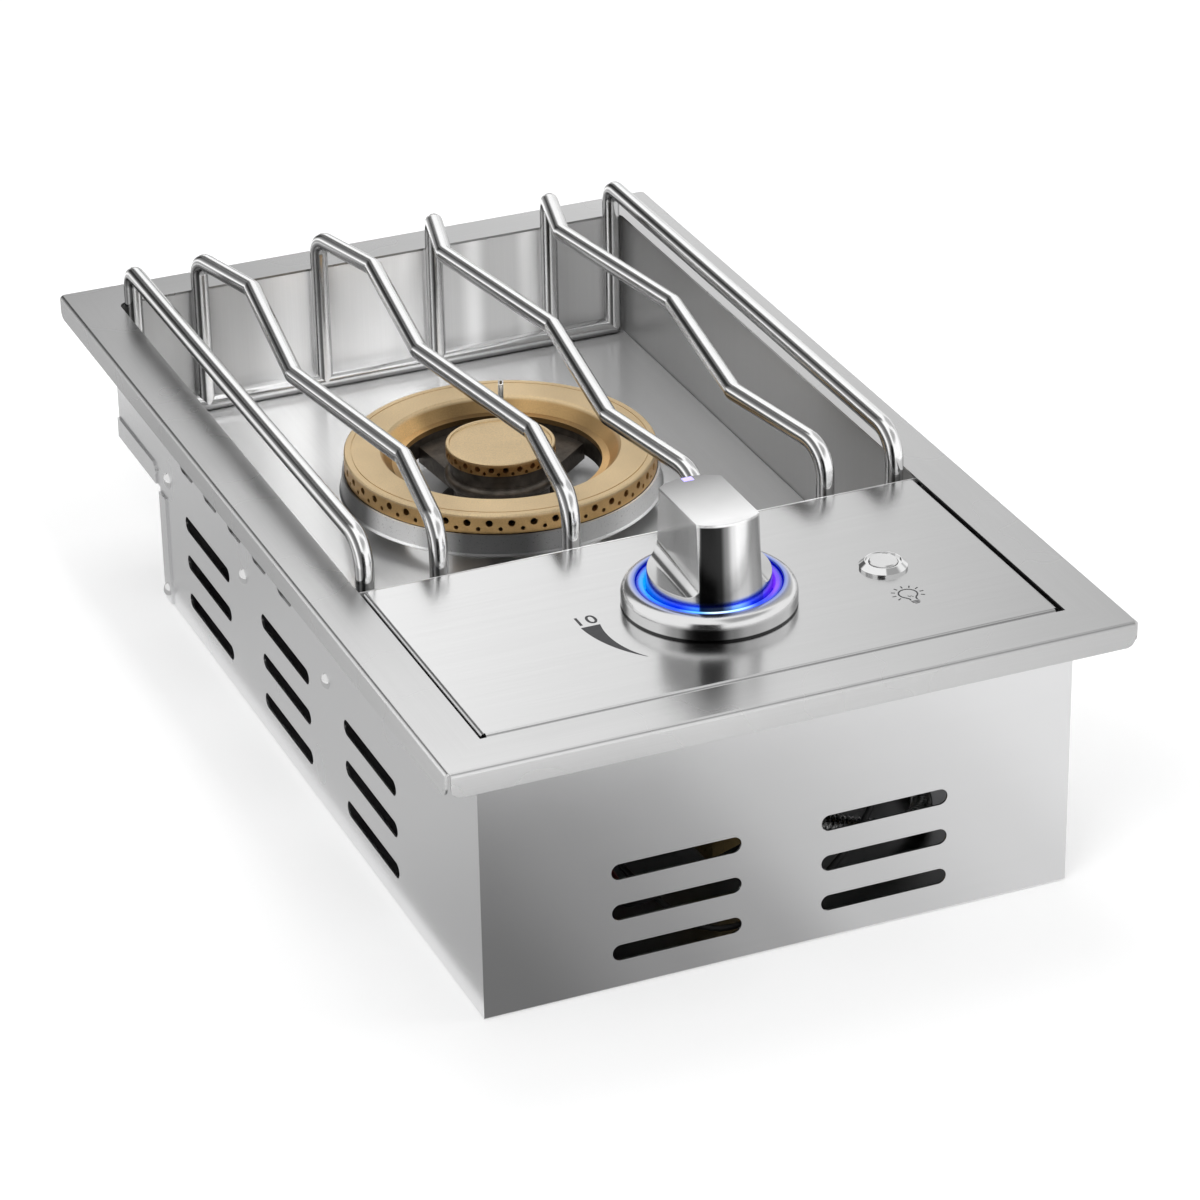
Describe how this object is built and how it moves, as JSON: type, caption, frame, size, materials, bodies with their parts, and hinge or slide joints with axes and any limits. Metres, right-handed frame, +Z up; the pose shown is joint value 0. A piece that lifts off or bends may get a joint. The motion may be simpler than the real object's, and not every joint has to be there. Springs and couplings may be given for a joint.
{
  "type": "drop-in gas side burner",
  "caption": "Drop-in stainless gas side burner with a lift-off rod grate over a brass burner in a deep tray, a turning valve knob with a lit bezel and a light button.",
  "frame": {"origin": "centre of the casing's underside, under the middle of the top frame", "axes": "+X to the right seen from the controls, +Y to the back, +Z up"},
  "size_m": [0.33, 0.552, 0.1896],
  "materials": {
    "frame_steel": "brushed",
    "casing_steel": "brushed",
    "plated_steel": "satin",
    "bright_steel": "polished",
    "rod_steel": "polished",
    "cast_iron": "rough",
    "brass": "satin",
    "knob_metal": "satin",
    "chrome": "polished",
    "light_plastic": "glossy",
    "black_plastic": "matte",
    "board": "satin",
    "ceramic": "glazed",
    "lead_red": "matte",
    "lead_black": "matte",
    "hose_steel": "ribbed"
  },
  "bodies": {
    "casing": {"top_frame": "frame_steel", "control_panel": "frame_steel", "panel_ledges": "plated_steel", "front_panel": "casing_steel", "left_side_panel": "casing_steel", "right_side_panel": "casing_steel", "rear_upper_panel": "casing_steel", "rear_cover": "casing_steel", "bottom_pan": "plated_steel", "tray_walls": "bright_steel", "tray_floor": "bright_steel", "tray_rails": "plated_steel", "side_screws": "bright_steel", "burner_casting": "cast_iron", "burner_cup": "bright_steel", "burner_screws": "bright_steel", "mixing_tube": "plated_steel", "gas_orifice": "brass", "valve_body": "brass", "valve_bonnet": "plated_steel", "valve_screws": "bright_steel", "valve_bracket": "plated_steel", "knob_bezel": "chrome", "bezel_nuts": "plated_steel", "light_ring": "light_plastic", "light_board": "board", "button_housing": "chrome", "button_nut": "plated_steel", "button_switch": "black_plastic", "igniter_electrode": "ceramic", "electrode_wire": "bright_steel", "electrode_clip": "plated_steel", "ignition_lead": "lead_red", "igniter_module": "black_plastic", "valve_microswitch": "black_plastic", "switch_lead": "lead_black", "battery_box": "black_plastic", "light_leads": "lead_black", "gas_hose": "hose_steel", "hose_nuts": "brass", "gas_inlet_fitting": "brass", "inlet_lock_nut": "brass"},
    "valve_plug": {"valve_plug": "brass"},
    "knob_and_stem": {"knob": "knob_metal", "knob_pointer": "light_plastic", "valve_stem": "bright_steel", "stem_spring": "bright_steel"},
    "light_button": {"light_button": "chrome", "button_spring": "bright_steel"},
    "air_shutter": {"air_shutter": "plated_steel"},
    "flame_ring": {"flame_ring": "brass"},
    "centre_cap": {"centre_cap": "brass"},
    "grate": {"grate_outer_rod_left": "rod_steel", "grate_outer_rod_right": "rod_steel", "grate_middle_rod_left": "rod_steel", "grate_middle_rod_right": "rod_steel", "grate_inner_rod_left": "rod_steel", "grate_inner_rod_right": "rod_steel", "grate_cross_bars": "rod_steel"}
  },
  "joints": [
    {"name": "knob_turn", "type": "hinge", "parent": "casing", "child": "valve_plug", "pos_m": [0, -0.1775, 0.139], "axis": [0, 0, 1], "range_deg": [0, 135]},
    {"name": "knob_push", "type": "slide", "parent": "valve_plug", "child": "knob_and_stem", "axis": [0, 0, -1], "range_m": [0, 0.004], "stiffness_N_per_m": 1500, "springref_m": -0.004, "deforming": ["stem_spring"]},
    {"name": "light_button_push", "type": "slide", "parent": "casing", "child": "light_button", "axis": [0, 0, -1], "range_m": [0, 0.0015], "stiffness_N_per_m": 1000, "springref_m": -0.0015, "deforming": ["button_spring"]},
    {"name": "air_shutter_turn", "type": "hinge", "parent": "casing", "child": "air_shutter", "pos_m": [0, -0.138, 0.044], "axis": [0, 1, 0], "range_deg": [0, 45]},
    {"name": "flame_ring_lift", "type": "slide", "parent": "casing", "child": "flame_ring", "axis": [0, 0, 1], "range_m": [0, 0.03]},
    {"name": "centre_cap_lift", "type": "slide", "parent": "casing", "child": "centre_cap", "axis": [0, 0, 1], "range_m": [0, 0.03]},
    {"name": "grate_lift", "type": "slide", "parent": "casing", "child": "grate", "axis": [0, 0, 1], "range_m": [0, 0.12]}
  ]
}
